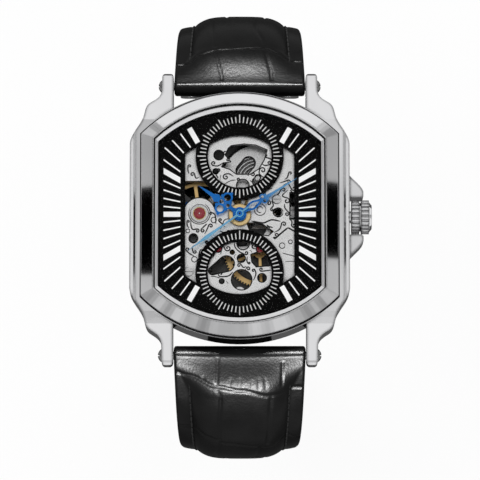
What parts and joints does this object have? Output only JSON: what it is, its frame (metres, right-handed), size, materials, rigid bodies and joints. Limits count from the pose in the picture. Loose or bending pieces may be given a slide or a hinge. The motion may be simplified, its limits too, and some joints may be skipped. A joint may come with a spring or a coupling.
{
  "type": "wristwatch",
  "caption": "Mechanical skeleton wristwatch: barrel-shaped steel case, pierced dial over an open movement, three hands, crown, and a padded leather strap with pin buckle.",
  "frame": {"origin": "centre of the dial's axis at the outer face of the case back", "axes": "+Z out of the dial, +Y towards 12 on the dial, +X towards the crown"},
  "size_m": [0.044, 0.0854, 0.1123],
  "materials": {
    "case_steel": "polished and brushed",
    "glass": "polished",
    "gasket": "matt",
    "dial_black": "semi gloss",
    "marker_white": "satin",
    "bridge": "engraved",
    "gilt": "gilt",
    "steel": "polished",
    "ruby": "polished",
    "blued_steel": "polished",
    "leather": "embossed, semi gloss"
  },
  "bodies": {
    "case": {"mid_case": "case_steel", "bezel": "case_steel", "crystal": "glass", "crystal_gasket": "gasket", "inner_ring": "case_steel", "dial": "dial_black", "hour_markers": "marker_white", "minute_ticks": "marker_white", "subdial_ticks": "marker_white", "movement_ring": "bridge", "main_plate": "bridge", "train_bridge": "bridge", "barrel_bridge": "bridge", "balance_cock": "bridge", "pallet_bridge": "bridge", "balance_jewel": "ruby", "jewel_setting": "gilt", "plate_jewels": "ruby", "movement_screws": "blued_steel", "back_cover": "case_steel", "back_glass": "glass", "back_gasket": "gasket", "back_screws": "case_steel", "crown_tube": "case_steel", "lug_bars": "case_steel", "hairspring": "blued_steel", "rotor_bearing": "steel"},
    "minute_work": {"centre_wheel": "gilt", "cannon_pinion": "steel", "minute_hand": "blued_steel"},
    "hour_work": {"hour_wheel": "gilt", "hour_hand": "blued_steel"},
    "minute_wheel": {"minute_wheel": "gilt"},
    "third_wheel": {"third_wheel": "gilt"},
    "fourth_work": {"fourth_wheel": "gilt", "seconds_hand": "blued_steel"},
    "escape_wheel": {"escape_wheel": "steel"},
    "barrel_drum": {"barrel": "gilt", "mainspring": "steel"},
    "winding_pinion": {"winding_pinion": "steel"},
    "crown_and_stem": {"crown": "case_steel", "winding_stem": "steel"},
    "setting_lever": {"setting_lever": "steel"},
    "crown_wheel": {"crown_wheel": "steel"},
    "winding_wheel": {"winding_wheel": "steel"},
    "ratchet": {"ratchet_wheel": "steel", "barrel_arbor": "steel"},
    "click": {"click": "steel"},
    "pallet_fork": {"pallet_fork": "steel"},
    "balance_wheel": {"balance_wheel": "gilt"},
    "rotor": {"rotor": "bridge"},
    "strap_upper": {"strap_upper": "leather", "fixed_keeper": "leather", "buckle_bar": "case_steel"},
    "strap_lower": {"strap_lower": "leather"},
    "sliding_keeper": {"sliding_keeper": "leather"},
    "buckle_frame": {"buckle_frame": "case_steel"},
    "buckle_tongue": {"buckle_tongue": "case_steel"}
  },
  "joints": [
    {"name": "fourth_turn", "type": "hinge", "parent": "case", "child": "fourth_work", "pos_m": [0, 0, 0.004], "axis": [0, 0, 1], "continuous": true},
    {"name": "minute_turn", "type": "hinge", "parent": "case", "child": "minute_work", "pos_m": [0, 0, 0.008], "axis": [0, 0, 1], "continuous": true},
    {"name": "hour_turn", "type": "hinge", "parent": "case", "child": "hour_work", "pos_m": [0, 0, 0.009], "axis": [0, 0, 1], "continuous": true},
    {"name": "minute_wheel_turn", "type": "hinge", "parent": "case", "child": "minute_wheel", "pos_m": [-0.00045, 0.00256, 0.009], "axis": [0, 0, 1], "continuous": true},
    {"name": "third_turn", "type": "hinge", "parent": "case", "child": "third_wheel", "pos_m": [0.00363, -0.00622, 0.004], "axis": [0, 0, 1], "continuous": true},
    {"name": "escape_turn", "type": "hinge", "parent": "case", "child": "escape_wheel", "pos_m": [-0.0039, -0.00617, 0.006], "axis": [0, 0, 1], "continuous": true},
    {"name": "barrel_turn", "type": "hinge", "parent": "case", "child": "barrel_drum", "pos_m": [0.00329, 0.0069, 0.005], "axis": [0, 0, 1], "continuous": true},
    {"name": "crown_turn", "type": "hinge", "parent": "case", "child": "winding_pinion", "pos_m": [0.01173, 0, 0.006], "axis": [1, 0, 0], "continuous": true},
    {"name": "stem_pull", "type": "slide", "parent": "winding_pinion", "child": "crown_and_stem", "axis": [1, 0, 0], "range_m": [0, 0.0012]},
    {"name": "setting_turn", "type": "hinge", "parent": "case", "child": "setting_lever", "pos_m": [0.01013, -0.0036, 0.006], "axis": [0, 0, 1], "range_deg": [-23, 0]},
    {"name": "crown_wheel_turn", "type": "hinge", "parent": "case", "child": "crown_wheel", "pos_m": [0.00973, 0, 0.0035], "axis": [0, 0, 1], "continuous": true},
    {"name": "winding_wheel_turn", "type": "hinge", "parent": "case", "child": "winding_wheel", "pos_m": [0.00711, 0.00281, 0.0035], "axis": [0, 0, 1], "continuous": true},
    {"name": "ratchet_turn", "type": "hinge", "parent": "case", "child": "ratchet", "pos_m": [0.00329, 0.0069, 0.0035], "axis": [0, 0, 1], "continuous": true},
    {"name": "click_turn", "type": "hinge", "parent": "case", "child": "click", "pos_m": [0.00059, 0.01199, 0.0035], "axis": [0, 0, 1], "range_deg": [0, 8], "stiffness_Nm_per_rad": 0.00002},
    {"name": "pallet_rock", "type": "hinge", "parent": "case", "child": "pallet_fork", "pos_m": [-0.00598, -0.00497, 0.0069], "axis": [0, 0, 1], "range_deg": [-4, 4]},
    {"name": "balance_swing", "type": "hinge", "parent": "case", "child": "balance_wheel", "pos_m": [-0.0073, 0.0003, 0.006], "axis": [0, 0, 1], "range_deg": [-135, 135]},
    {"name": "rotor_turn", "type": "hinge", "parent": "case", "child": "rotor", "pos_m": [0, 0, 0.0025], "axis": [0, 0, 1], "continuous": true},
    {"name": "strap_upper_turn", "type": "hinge", "parent": "case", "child": "strap_upper", "pos_m": [0, 0.0249, 0.0023], "axis": [1, 0, 0], "range_deg": [-25, 40]},
    {"name": "strap_lower_turn", "type": "hinge", "parent": "case", "child": "strap_lower", "pos_m": [0, -0.0249, 0.0023], "axis": [1, 0, 0], "range_deg": [-40, 25]},
    {"name": "keeper_slide", "type": "slide", "parent": "strap_upper", "child": "sliding_keeper", "axis": [0, 0, -1], "range_m": [-0.003, 0.006]},
    {"name": "buckle_turn", "type": "hinge", "parent": "strap_upper", "child": "buckle_frame", "pos_m": [0, 0.03891, -0.06789], "axis": [1, 0, 0], "range_deg": [-35, 35]},
    {"name": "tongue_turn", "type": "hinge", "parent": "buckle_frame", "child": "buckle_tongue", "pos_m": [0, 0.03891, -0.06789], "axis": [1, 0, 0], "range_deg": [0, 70]}
  ],
  "couplings": [
    {"joint": "minute_turn", "follows": "fourth_turn", "ratio": 0.016667},
    {"joint": "hour_turn", "follows": "fourth_turn", "ratio": 0.0013889},
    {"joint": "minute_wheel_turn", "follows": "fourth_turn", "ratio": -0.0055556},
    {"joint": "third_turn", "follows": "fourth_turn", "ratio": -0.13333},
    {"joint": "escape_turn", "follows": "fourth_turn", "ratio": -10},
    {"joint": "barrel_turn", "follows": "fourth_turn", "ratio": -0.002381},
    {"joint": "setting_turn", "follows": "stem_pull", "rad_per_m": -327},
    {"joint": "crown_wheel_turn", "follows": "crown_turn", "ratio": 0.82353},
    {"joint": "winding_wheel_turn", "follows": "crown_turn", "ratio": -1.3725},
    {"joint": "ratchet_turn", "follows": "crown_turn", "ratio": 0.47511}
  ]
}
